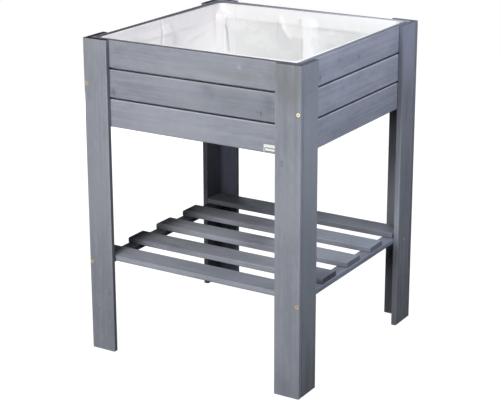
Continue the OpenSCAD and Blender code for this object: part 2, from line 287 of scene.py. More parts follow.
@dataclass(frozen=True)
class Mark:
    """A soft stain, knot or patch of painted light or shade on a face, in
    millimetres from the board's middle.

    A side of 1 or -1 keeps it to the face that looks up or down the board's
    third axis; 0 lets it go through.
    """

    along: float
    across: float
    long: float
    wide: float
    colour: str
    strength: float = 0.6
    knot: bool = False
    side: int = 0

    def near(self, add: Adder, along: Feed, across: Feed, face_on: Feed) -> Feed:
        """Add a value that is 1 at the middle of the mark and fades to 0.

        Args:
            add: Adds a node to the material.
            along: Distance along the grain from the board's middle.
            across: Distance across the face from the board's middle.
            face_on: Share of the normal that lies along the board's third axis.

        Returns:
            The value.
        """
        legs = []
        for place, middle, size in (
            (along, self.along, self.long),
            (across, self.across, self.wide),
        ):
            off = add("Math", place, middle * MM, operation="SUBTRACT")
            legs.append(add("Math", off, size * MM, operation="DIVIDE"))
        near = bell(add, 0.5, *legs)
        if not self.side:
            return near
        low, high = 0.5 * self.side, 0.9 * self.side
        return product(add, near, add("MapRange", face_on, low, high, **EASED))


MARKS: dict[str, tuple[Mark, ...]] = {
    "front_wall_top": (
        Mark(62, -4, 34, 6, "888687", 0.9),
        Mark(20, 0, 80, 26, "A3A6AE", 0.45),
        Mark(140, -13, 32, 8, "898888", 0.75),
        Mark(131, 10, 4, 3.5, "B4B6BC", 0.7),
        Mark(-206, 12, 14, 8, "7E808B", 0.5),
        Mark(-142, 15, 30, 4, "80828D", 0.4),
    ),
    "front_wall_middle": (
        Mark(40, 24, 9, 10, "6A6F7B", 0.6),
        Mark(-20, 0, 60, 30, "A2A5AE", 0.5),
        Mark(56, 12, 8, 12, "757A85", 0.5),
        Mark(150, 0, 80, 30, "80858D", 0.5),
        Mark(100, 14, 28, 8, "828A88", 0.5),
        Mark(208, 8, 12, 15, "6E737D", 0.6),
        Mark(189, -17, 1.4, 4, "45474C", 0.9, True),
        Mark(180, -15, 3, 2, "5C6069", 0.6),
        Mark(-222, -20, 5, 7, "585B65", 0.7, True),
    ),
    "front_wall_bottom": (
        Mark(23, 5, 6, 2.5, "797D88", 0.45),
        Mark(48, 8, 6, 2.5, "797D88", 0.5),
        Mark(72, 10, 9, 3, "757984", 0.55),
        Mark(95, 13, 6, 2.5, "797D88", 0.5),
        Mark(120, 17, 7, 2.5, "797D88", 0.4),
        Mark(-5, -25, 22, 5, "8D8590", 0.5),
        Mark(10, -4, 70, 30, "A8ABB4", 0.45),
        Mark(-140, 0, 55, 60, "A8ABB4", 0.27),
        Mark(150, 0, 55, 60, "868A93", 0.35),
    ),
    "front_right_leg_face": (
        Mark(366, 6, 40, 44, "787C7E", 0.9),
        Mark(326, 10, 20, 13, "7E8079", 0.6),
        Mark(310, -12, 70, 6, "777A7E", 0.6),
        Mark(262, -6, 42, 3, "767A83", 0.55),
        Mark(174, -14, 2.5, 3, "62666F", 0.7),
        Mark(166, -14, 2.5, 3, "62666F", 0.7),
        Mark(-376, -2, 18, 18, "737682", 0.5),
        Mark(71, 0, 60, 60, "A2A5AE", 0.5),
        Mark(240, 0, 32, 60, "84878F", 0.4),
        Mark(-240, 0, 130, 60, "AEB2BB", 0.2),
    ),
    "front_right_leg_side": (
        Mark(334, -10, 2.5, 14, "6F747E", 0.6),
        Mark(370, 0, 70, 60, "74797F", 0.8),
        Mark(-170, 0, 90, 60, "97A2A8", 0.4),
        # Painted shade: the foot of the side board darkens towards the floor.
        Mark(-400, 14, 92, 60, "53595C", 0.92),
        Mark(110, 0, 160, 60, "A2A8AE", 0.7),
        Mark(-60, -6, 90, 20, "83908F", 0.35),
    ),
    "front_left_leg_face": (
        Mark(-244, 23, 2.5, 2.5, "6A6E78", 0.6),
        Mark(-292, -10, 2.5, 2.5, "6A6E78", 0.6),
        Mark(384, 8, 10, 30, "A6A8B0", 0.4),
        Mark(340, 0, 60, 60, "8A8D96", 0.4),
        Mark(20, 0, 110, 60, "A4A7B1", 0.6),
    ),
    "right_wall_top": (
        Mark(4, -3, 4, 3.5, "5A5E6C", 0.7, True),
        Mark(-95, 6, 4, 3.5, "626674", 0.7, True),
        Mark(-188, -17, 4, 6, "4C505C", 0.8),
        Mark(-85, 0, 34, 14, "7D8190", 0.4),
    ),
    "right_wall_middle": (Mark(1, 19, 5, 2, "666B78", 0.7),),
    "right_wall_bottom": (Mark(150, -14, 130, 22, "80838F", 0.5),),
    # Painted shade at the left end of the rim, and a painted reflection that fades it
    # to white at the right.
    "back_wall_top": (
        Mark(-286, 35, 45, 3, "2A2C32", 0.9),
        Mark(-190, 35, 60, 3, "50525A", 0.4),
        Mark(240, 35, 150, 3, "E8EAF0", 0.9),
    ),
    # Painted shade on the back left leg's inner faces: a bluish tint, and near black
    # below the shelf.
    "back_left_leg_face": (
        Mark(0, 0, 300, 80, "8C98BC", 0.6, side=-1),
        Mark(-205, 0, 30, 80, "08090B", 0.8, side=-1),
        Mark(-310, 0, 80, 80, "08090B", 0.8, side=-1),
    ),
    "back_left_leg_side": (
        Mark(0, 0, 300, 80, "8C98BC", 0.3, side=1),
        Mark(-205, 0, 30, 80, "08090B", 0.8, side=1),
        Mark(-310, 0, 80, 80, "08090B", 0.8, side=1),
    ),
    # Painted shade on the inner face: near black at the top under the box and at the
    # rail, with painted light between.
    "back_right_leg_face": (
        Mark(205, 0, 50, 80, "08090B", 0.95, side=-1),
        Mark(185, 0, 24, 80, "08090B", 0.8, side=-1),
        Mark(-80, 0, 75, 80, "C4C8D2", 0.7, side=-1),
        Mark(-225, 0, 26, 80, "08090B", 0.95, side=-1),
    ),
    # The first eight marks are painted light and shade: paler at the top, darker at the
    # foot, and on the narrow front face darker at the top and at the rail and lighter
    # between and at the foot.
    "back_right_leg_side": (
        Mark(340, 0, 80, 60, "A3A8BD", 0.6),
        Mark(-400, 0, 110, 60, "4C5058", 0.9),
        Mark(320, -36, 90, 5, "4C4F57", 0.75),
        Mark(205, -36, 40, 5, "4C4F57", 0.5),
        Mark(-60, -36, 110, 3.5, "C4C8D2", 0.8),
        Mark(-110, -36, 42, 3.5, "E4E8F2", 0.65),
        Mark(-350, -36, 70, 3.5, "A8ABB4", 0.92),
        Mark(-205, -36, 25, 5, "5A5D66", 0.7),
        Mark(225, 0, 30, 16, "6A6E7C", 0.6),
        Mark(184, -6, 26, 12, "6E7280", 0.5),
        Mark(20, 8, 60, 8, "767A86", 0.4),
    ),
    # Painted shade darkens the left ends of the slats and the right end of the back
    # slat; the other marks on the slats are soft patches of painted light and shade.
    "shelf_slat_1": (
        Mark(-140, 0, 40, 60, "4D4F55", 0.3),
        Mark(270, 0, 14, 60, "3A3C42", 0.45),
        Mark(40, 0, 300, 60, "7E858F", 0.45),
        Mark(190, 0, 90, 60, "C0C4CE", 0.2),
    ),
    "shelf_slat_2": (
        Mark(-284, 0, 44, 60, "141518", 0.75),
        Mark(-284, 0, 30, 60, "0C0D0F", 0.6),
        Mark(-75, 0, 50, 60, "4D4F55", 0.15),
        Mark(-150, 0, 30, 60, "C0C4CE", 0.6),
        Mark(230, 0, 70, 60, "C0C4CE", 0.2),
    ),
    "shelf_slat_3": (
        Mark(-284, 0, 46, 60, "141518", 0.75),
        Mark(-284, 0, 28, 60, "0C0D0F", 0.6),
        Mark(15, 0, 38, 60, "4D4F55", 0.4),
        Mark(-110, 0, 50, 60, "C0C4CE", 0.3),
        Mark(250, 0, 50, 60, "C0C4CE", 0.3),
    ),
    "shelf_slat_4": (
        Mark(-284, 0, 36, 60, "0C0D0F", 0.95),
        Mark(-284, 0, 26, 60, "0C0D0F", 0.7),
        Mark(-160, 0, 85, 60, "4D4F55", 0.25),
    ),
    "shelf_slat_5": (
        Mark(-262, 6, 22, 40, "1C1D21", 0.6),
        Mark(-262, 0, 14, 60, "141518", 0.6),
        Mark(-130, 0, 80, 60, "C0C4CE", 0.25),
        Mark(215, 0, 80, 60, "C0C4CE", 0.25),
    ),
}


@dataclass(frozen=True)
class Board:
    """One CAD board as cut from its tree, with the light and shade painted on it.

    The tone dims or lifts the whole board, partly its own shade and partly painted
    light or shade, and the edges paint light or shade on its two narrow faces.
    The share of the ends says how far the sawn ends darken, and the narrow
    face of a rim starts on its rounding.
    """

    node: str
    grain: Grain
    tone: float = 1.0
    high_edge: float = 1.0
    low_edge: float = 1.0
    end_share: float = 1.0
    sheen: float = 1.0
    rim: bool = False


@dataclass(frozen=True)
class PlanedPine:
    """Planed pine, raw or under a semi-opaque stain that was brushed on.

    The growth rings and fibres stay faintly visible, the stain gathers in
    blotches along the grain, and it sinks in darker at the sawn ends. The
    patterns have a length along the grain and a width, in millimetres. Real
    fibres are too fine to show, so they are drawn 1.1 mm wide.
    """

    name: str
    pale: str
    deep: str
    warm: str
    ring_tint: str
    end_grain: str
    end_ring: str
    ring_strength: float = 0.09
    fibre_strength: float = 0.12
    ring_width: float = 3.4 * MM
    ring_drift: float = 50 * MM
    knot_bulge: float = 2.2
    streaks: tuple[float, float] = (500, 8)
    blotches: tuple[float, float] = (130, 42)
    mottle: tuple[float, float] = (24, 11)
    fibres: tuple[float, float] = (50, 1.1)
    clouds: tuple[float, float] = (400, 100)
    wander: tuple[float, float] = (500, 60)
    relief_depth: float = 0.25 * MM
    relief_strength: float = 0.35
    roughness: float = 0.62
    specular: float = 0.3
    arris: float = 0.2

    def material(self, board: Board, seed: int) -> bpy.types.Material:
        """Make the wood of one board.

        Args:
            board: The board's grain, tone, edges, ends and sheen.
            seed: Seed of the board's own place in the stem.

        Returns:
            The board's material.
        """
        draw = random.Random(seed)
        material, add, shader = blank_material(f"{self.name}_{board.node}")
        place = add("TexCoord").outputs
        split = add("SeparateXYZ", place["Object"]).outputs
        corner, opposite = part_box(board.node)
        centre = (corner + opposite) / 2
        along, across, through = (
            add("Math", split[axis], centre["XYZ".index(axis)], operation="SUBTRACT")
            for axis in board.grain.value
        )
        local = add("CombineXYZ", along, across, through)
        shift = tuple(draw.uniform(-9.0, 9.0) for _ in range(3))
        stem = add("VectorMath", local, shift, operation="ADD")
        streaks, blotches, mottle, fibres, clouds, wander = (
            stretched_noise(add, stem, (long, wide, wide), detail, rough)
            for (long, wide), detail, rough in (
                (self.streaks, 2.0, 0.5),
                (self.blotches, 2.0, 0.5),
                (self.mottle, 2.0, 0.6),
                (self.fibres, 2.0, 0.6),
                (self.clouds, 1.0, 0.5),
                (self.wander, 1.0, 0.4),
            )
        )
        facing = add("SeparateXYZ", place["Normal"]).outputs
        end_facing, edge_on, face_on = (facing[axis] for axis in board.grain.value)
        marks = MARKS.get(board.node, ())
        nears = [mark.near(add, along, across, face_on) for mark in marks]
        knots: Feed = None
        for mark, near in zip(marks, nears):
            if mark.knot and knots is None:
                knots = near
            elif mark.knot:
                knots = add("Math", knots, near, operation="ADD")
        latewood = self.rings(add, across, through, wander, knots, draw)

        # Stain in blotches, faint clouds of warmth, rings, fibres and marks, some of
        # which are painted light and shade.
        stain = weighted(add, (blotches, 0.4), (streaks, 0.35), (mottle, 0.25))
        cloudy = add("MapRange", clouds, 0.52, 0.75, 0.0, 0.45, **EASED)
        fibrous = add(
            "MapRange", fibres, 0.52, 0.72, 0.0, self.fibre_strength, **EASED
        )
        layers: Layers = [
            (self.pale, add("MapRange", stain, 0.36, 0.64, **EASED)),
            (self.warm, cloudy),
            (self.ring_tint, product(add, latewood, self.ring_strength)),
            (self.ring_tint, fibrous),
        ]
        ragged = add("MapRange", stain, 0.35, 0.65, 1.0, 0.7, **EASED)
        for mark, near in zip(marks, nears):
            layers.append((mark.colour, product(add, near, ragged, mark.strength)))
        # Sawn ends drink the stain, most of all in their rings.
        sawn = add("Math", end_facing, operation="ABSOLUTE")
        end_on = add("MapRange", sawn, 0.6, 0.9, **EASED)
        end_rings: Layers = [(self.end_ring, product(add, latewood, 0.6))]
        end_colour = layered(add, self.end_grain, end_rings)
        layers.append((end_colour, product(add, end_on, board.end_share)))
        colour = layered(add, self.deep, layers)

        # Rounded edges are paler, partly thinner stain and partly a painted highlight,
        # and narrow faces take their own level of painted light or shade.
        tilted = add("Math", edge_on, operation="ABSOLUTE")
        wear_and_highlight = product(
            add,
            add("MapRange", tilted, 0.15, 0.5, 0.0, self.arris, **EASED),
            add("MapRange", tilted, 0.8, 0.97, 1.0, 0.0, **EASED),
        )
        start = 0.55 if board.rim else 0.92
        edge_light_level = product(
            add,
            add(
                "MapRange", edge_on, start, start + 0.075, 1.0, board.high_edge, **EASED
            ),
            add("MapRange", edge_on, -0.995, -0.9, board.low_edge, 1.0, **EASED),
        )
        level = add("Math", wear_and_highlight, edge_light_level, edge_light_level, operation="MULTIPLY_ADD")
        level = product(add, level, board.tone)
        toned = add("VectorMath", colour, level, operation="SCALE")
        feed(shader.inputs["Base Color"], toned)

        # Late wood and fibres stand up a little and scatter the sheen.
        relief = weighted(add, (latewood, 0.35), (fibres, 0.65))
        bump = add("Bump", self.relief_strength, self.relief_depth, None, relief)
        feed(shader.inputs["Normal"], bump)
        least, most = self.roughness - 0.06, self.roughness + 0.1
        rough = add("MapRange", fibres, 0.2, 0.8, least, most, **EASED)
        feed(shader.inputs["Roughness"], rough)
        feed(shader.inputs["IOR"], 1.5)
        shine = self.specular * board.sheen
        feed(shader.inputs["Specular IOR Level"], shine)
        if shine:
            dulled = add("MapRange", end_on, 0.0, 1.0, shine, 0.0, **EASED)
            feed(shader.inputs["Specular IOR Level"], product(add, dulled, edge_light_level))
        return material

    def rings(
        self,
        add: Adder,
        across: Feed,
        through: Feed,
        wander: Feed,
        knots: Feed,
        draw: random.Random,
    ) -> Node:
        """Add growth rings, cylinders round a heart that lies off the board.

        The heart wanders along the stem, so the face shows long arches, and
        the rings bend round each knot.

        Args:
            add: Adds a node to the material.
            across: Distance across the face from the board's middle.
            through: Distance through the board from its middle.
            wander: Slow noise along the stem.
            knots: Value that is high at the knots, or None.
            draw: Source of the heart's place.

        Returns:
            The latewood's share, 0 to 1.
        """
        heart_side = draw.uniform(-30, 30) * MM
        heart_depth = draw.choice((-1, 1)) * draw.uniform(30, 80) * MM
        sway = add("Math", wander, 0.5, operation="SUBTRACT")
        drift = product(add, sway, self.ring_drift)
        legs = []
        for leg, heart in ((across, heart_side), (through, heart_depth)):
            leg = add("Math", leg, heart, operation="SUBTRACT")
            legs.append(add("Math", leg, drift, operation="ADD"))
        reach = distance(add, *legs)
        if knots is not None:
            bulge = product(add, knots, self.knot_bulge * self.ring_width)
            reach = add("Math", reach, bulge, operation="ADD")
        count = add("Math", reach, self.ring_width, operation="DIVIDE")
        ramp = add("ValToRGB", add("Math", count, operation="FRACT"))
        stops = ramp.color_ramp.elements
        # Each ring darkens slowly towards its late wood and starts afresh.
        for stop in stops:
            stop.color = (0.35, 0.35, 0.35, 1)
        for position, grey in ((0.14, 0.0), (0.62, 0.25), (0.86, 1.0)):
            stops.new(position).color = (grey, grey, grey, 1)
        return ramp


STAINED_PINE = PlanedPine(
    name="stained_planed_pine",
    pale="9C9FA8",
    deep="888C96",
    warm="8F9094",
    ring_tint="7D808B",
    end_grain="3C3E43",
    end_ring="2E3034",
)
RAW_PINE = PlanedPine(
    name="raw_planed_pine",
    pale="D9C29B",
    deep="CBAF84",
    warm="C7A478",
    ring_tint="B08A5A",
    end_grain="BFA077",
    end_ring="9A7A50",
    ring_strength=0.5,
    fibre_strength=0.25,
    roughness=0.7,
    specular=0.25,
)


@dataclass(frozen=True)
class PaintedFold:
    """A sharp fold pressed into one wall of the liner, drawn as a painted
    highlight or a painted shadow line along it.

    Its ends are given as level (X or Y) and height in millimetres.
    """

    wall: Wall
    start: tuple[float, float]
    end: tuple[float, float]
    width: float
    colour: str
    strength: float = 0.6

    def share(self, add: Adder, axes: bpy.types.NodeOutputs) -> Feed:
        """Add the fold's share of the colour, highest on its line.

        Args:
            add: Adds a node to the material.
            axes: Sockets of the position's X, Y and Z.

        Returns:
            The share.
        """
        flat = self.wall in (Wall.FRONT, Wall.BACK)
        level, depth = (axes["X"], axes["Y"]) if flat else (axes["Y"], axes["X"])
        way = 1.0 if self.wall in (Wall.RIGHT, Wall.BACK) else -1.0
        run = (self.end[0] - self.start[0]) * MM
        rise = (self.end[1] - self.start[1]) * MM
        length = math.hypot(run, rise)
        over = add("Math", level, self.start[0] * MM, operation="SUBTRACT")
        up = add("Math", axes["Z"], self.start[1] * MM, operation="SUBTRACT")
        along = weighted(add, (over, run / length), (up, rise / length))
        aside = weighted(add, (over, rise / length), (up, -run / length))
        off = add("Math", aside, self.width * MM, operation="DIVIDE")
        near = bell(add, 1.0, off)
        begun = add("MapRange", along, -6 * MM, 4 * MM, **EASED)
        stop, end = length - 8 * MM, length + 4 * MM
        going = add("MapRange", along, stop, end, 1.0, 0.0, **EASED)
        outward = product(add, depth, way)
        on_wall = add("MapRange", outward, 235 * MM, 245 * MM, **EASED)
        return product(add, near, self.strength, begun, going, on_wall)


@dataclass(frozen=True)
class NeedledFleece:
    """White non-woven polypropylene fleece, needled and lightly pressed.

    Double layers and the parts that bridge the battens read as pure white;
    a single layer close to the stained wall lets a little grey through, and
    painted shade greys it further and darkens its creases. On the wall that
    faces the light from the right, that light is painted on as a warm and
    brighter white, dimmed in places by painted shade. Real fibres are too fine
    to show, so they are drawn 0.9 mm wide. Patterns have their sizes in
    millimetres.
    """

    name: str = "needled_white_fleece"
    white: str = "F2F1EF"
    backed_and_shaded: str = "DADAD8"
    crease_shade: str = "CFCFCC"
    painted_bounce_light: str = "F9F4F0"
    painted_bounce_dim: str = "DFDCDB"
    crinkle: str = "D8D8D6"
    patches: tuple[float, float, float] = (50, 50, 35)
    upright: tuple[float, float, float] = (2.6, 2.6, 60)
    level: tuple[float, float, float] = (70, 70, 2.2)
    fibres: tuple[float, float, float] = (0.9, 0.9, 0.9)
    relief_depth: float = 0.3 * MM
    relief_strength: float = 0.3
    folds: tuple[PaintedFold, ...] = ()

    def material(self) -> bpy.types.Material:
        """Make the fleece, its fine pressed crinkles and its painted light and shade.
        """
        material, add, shader = blank_material(self.name)
        place = add("TexCoord").outputs["Object"]
        axes = add("SeparateXYZ", place).outputs
        backing = add("Attribute", attribute_name="backing").outputs["Fac"]
        patches = stretched_noise(add, place, self.patches, 3.0, 0.6)
        upright = stretched_noise(add, place, self.upright, 1.0)
        level = stretched_noise(add, place, self.level, 1.0)
        fibres = stretched_noise(add, place, self.fibres, 2.0, 0.6)
        patchy = add("MapRange", patches, 0.35, 0.62, 0.6, 1.0, **EASED)
        # Painted shade greys and creases the sheet, and painted bounce light warms and
        # dims the left wall.
        layers: Layers = [
            (colour, add("MapRange", value, low, high, **EASED))
            for colour, value, low, high in (
                (self.backed_and_shaded, product(add, backing, patchy), 0.0, 1.0),
                (self.painted_bounce_light, backing, 0.0, -1.0),
                (self.painted_bounce_dim, backing, -1.0, -2.0),
                (self.crease_shade, backing, 1.0, 2.0),
            )
        ]
        lines = add(
            "Math",
            add("MapRange", upright, 0.58, 0.78, 0.0, 0.55, **EASED),
            add("MapRange", level, 0.6, 0.8, 0.0, 0.5, **EASED),
            operation="MAXIMUM",
        )
        layers.append((self.crinkle, product(add, lines, 0.5)))
        layers += [(fold.colour, fold.share(add, axes)) for fold in self.folds]
        feed(shader.inputs["Base Color"], layered(add, self.white, layers))
        feed(shader.inputs["Roughness"], 0.95)
        feed(shader.inputs["Specular IOR Level"], 0.15)
        relief = weighted(add, (fibres, 0.5), (lines, -0.8))
        bump = add("Bump", self.relief_strength, self.relief_depth, None, relief)
        feed(shader.inputs["Normal"], bump)
        return material


@dataclass(frozen=True)
class YellowZinc:
    """Steel screws with yellow-passivated zinc plating, from the barrel.

    The plating is pale on the rim of the head. Painted shade browns the
    driver's cross, browns the screws on the left legs and low down, and dulls
    the screws that face away from the light. Middles of heads are in millimetres.
    """

    name: str = "yellow_passivated_zinc"
    rim: str = "F6F0C8"
    deep: str = "DFCF8E"
    cross: str = "7D7030"
    dull: float = 1.0
    shade_browning: float = 0.0
    brown: str = "A87F45"
    axes: tuple[str, str] = ("X", "Z")
    middles: tuple[tuple[float, float], ...] = ()
    cross_radius: float = 1.5 * MM
    tint_size: tuple[float, float, float] = (2, 2, 2)

    def material(self) -> bpy.types.Material:
        """Make the plating, a metal with slow changes of tint."""
        material, add, shader = blank_material(self.name)
        place = add("TexCoord").outputs["Object"]
        axes = add("SeparateXYZ", place).outputs
        tint = stretched_noise(add, place, self.tint_size)
        # Painted shade browns the plating towards the left and low down.
        painted_shade_share = add(
            "Math",
            add("MapRange", axes["X"], 0.1, -0.1, 0.0, self.shade_browning, **EASED),
            add("MapRange", axes["Z"], 0.6, 0.4, 0.0, self.shade_browning, **EASED),
            operation="MAXIMUM",
        )
        layers: Layers = [
            (self.deep, add("MapRange", tint, 0.35, 0.65, **EASED)),
            (self.brown, painted_shade_share),
        ]
        near: Feed = None
        for middle in self.middles:
            legs = []
            for axis, centre in zip(self.axes, middle):
                size = add("Math", axes[axis], operation="ABSOLUTE")
                legs.append(add("Math", size, centre * MM, operation="SUBTRACT"))
            reach = distance(add, *legs)
            if near is not None:
                reach = add("Math", near, reach, operation="MINIMUM")
            near = reach
        # Painted shade in the driver's cross.
        if near is not None:
            inner, outer = 0.6 * self.cross_radius, 1.6 * self.cross_radius
            share = add("MapRange", near, inner, outer, 0.8, 0.0, **EASED)
            layers.append((self.cross, share))
        colour = layered(add, self.rim, layers)
        # Painted shade: dull darkens the whole screw.
        toned = add("VectorMath", colour, self.dull, operation="SCALE")
        feed(shader.inputs["Base Color"], toned)
        feed(shader.inputs["Metallic"], 0.85)
        feed(shader.inputs["Roughness"], 0.42)
        return material


@dataclass(frozen=True)
class LabelFilm:
    """White printed film with nothing on it but a plain outline."""

    name: str = "white_label_film"
    white: str = "FDFDFC"
    line: str = "57534C"
    middle: tuple[float, float] = (212.2 * MM, 593.6 * MM)
    half: tuple[float, float] = (13.6 * MM, 3.8 * MM)
    corner: float = 2.4 * MM
    stroke: float = 1.8 * MM

    def material(self) -> bpy.types.Material:
        """Make the film, with a rounded outline printed in its lower half."""
        material, add, shader = blank_material(self.name)
        axes = add("SeparateXYZ", add("TexCoord").outputs["Object"]).outputs
        outside = []
        for axis, middle, half in zip(("X", "Z"), self.middle, self.half):
            gap = add("Math", axes[axis], middle, operation="SUBTRACT")
            gap = add("Math", gap, operation="ABSOLUTE")
            gap = add("Math", gap, half - self.corner, operation="SUBTRACT")
            outside.append(add("Math", gap, 0.0, operation="MAXIMUM"))
        reach = distance(add, *outside)
        off = add("Math", reach, self.corner, operation="SUBTRACT")
        off = add("Math", off, operation="ABSOLUTE")
        inner, outer = self.stroke * 0.4, self.stroke * 0.6
        ink = add("MapRange", off, inner, outer, 1.0, 0.0, **EASED)
        printed = layered(add, self.white, [(self.line, ink)])
        feed(shader.inputs["Base Color"], printed)
        feed(shader.inputs["Roughness"], 0.4)
        return material


@dataclass(frozen=True)
class Bend:
    """A point of an outline in millimetres, with the radius that rounds it."""

    along: float
    depth: float
    radius: float = 0.0


class QuarterOutline:
    """The liner's path from one wall's middle, round a corner, to the next.

    It is seen from above in the first wall's own frame: along the wall, and
    out from the middle of the box.
    """

    def __init__(self, *bends: Bend, count: int = 400) -> None:
        """Round the bends and space points evenly along the path.

        Args:
            bends: Points of the path, in order.
            count: Number of even steps.
        """
        points = self.rounded(bends)
        lengths = [0.0]
        for first, second in zip(points, points[1:]):
            lengths.append(lengths[-1] + (second - first).length)
        self.length = lengths[-1]
        self.points: list[Vector] = []
        index = 0
        for step in range(count + 1):
            target = self.length * step / count
            while index < len(lengths) - 2 and lengths[index + 1] < target:
                index += 1
            span = lengths[index + 1] - lengths[index]
            share = (target - lengths[index]) / span if span else 0.0
            self.points.append(points[index].lerp(points[index + 1], share))

    @staticmethod
    def rounded(bends: tuple[Bend, ...], steps: int = 8) -> list[Vector]:
        """Replace each bend by an arc that is tangent to both its sides.

        Args:
            bends: Points of the path, in order.
            steps: Number of chords in each arc.

        Returns:
            The points of the rounded path, in metres.
        """
        corners = [Vector((b.along, b.depth)) * MM for b in bends]
        path = [corners[0]]
        for i in range(1, len(corners) - 1):
            back = (corners[i - 1] - corners[i]).normalized()
            ahead = (corners[i + 1] - corners[i]).normalized()
            turn = back.angle(ahead)
            reach = bends[i].radius * MM / math.tan(turn / 2)
            start, end = corners[i] + back * reach, corners[i] + ahead * reach
            for step in range(steps + 1):
                share = step / steps
                first = start.lerp(corners[i], share)
                second = corners[i].lerp(end, share)
                path.append(first.lerp(second, share))
        path.append(corners[-1])
        return path

    def at(self, share: float) -> Vector:
        """Give the point at a share of the path's length."""
        place = min(max(share, 0.0), 1.0) * (len(self.points) - 1)
        index = min(int(place), len(self.points) - 2)
        return self.points[index].lerp(self.points[index + 1], place - index)


@dataclass(frozen=True)
class Crease:
    """A ridge that stands off one wall, between two points in millimetres."""

    wall: Wall
    start: tuple[float, float]
    end: tuple[float, float]
    width: float
    height: float
    end_height: float = 0.25

    def rise(self, wall: Wall, level: float, up: float) -> float:
        """Give the height of the ridge at a point of a wall.

        Args:
            wall: Wall of the point.
            level: The point's X or Y, in millimetres.
            up: The point's Z, in millimetres.

        Returns:
            The ridge's height in millimetres.
        """
        if wall != self.wall:
            return 0.0
        start = Vector(self.start)
        ray = Vector(self.end) - start
        point = Vector((level, up)) - start
        share = min(1.0, max(0.0, point.dot(ray) / ray.length_squared))
        gap = (point - ray * share).length
        fade = smooth(share, -0.001, 0.12) * (1 - smooth(share, 0.88, 1.001))
        swell = self.height * (self.end_height + (1 - self.end_height) * fade)
        return swell * math.exp(-((gap / self.width) ** 2))


@dataclass(frozen=True)
class Station:
    """One ring of the liner's sheet, on its way up the wall."""

    height: float
    inset: float = 0.0
    lift: float = 0.0
    behind: bool = False


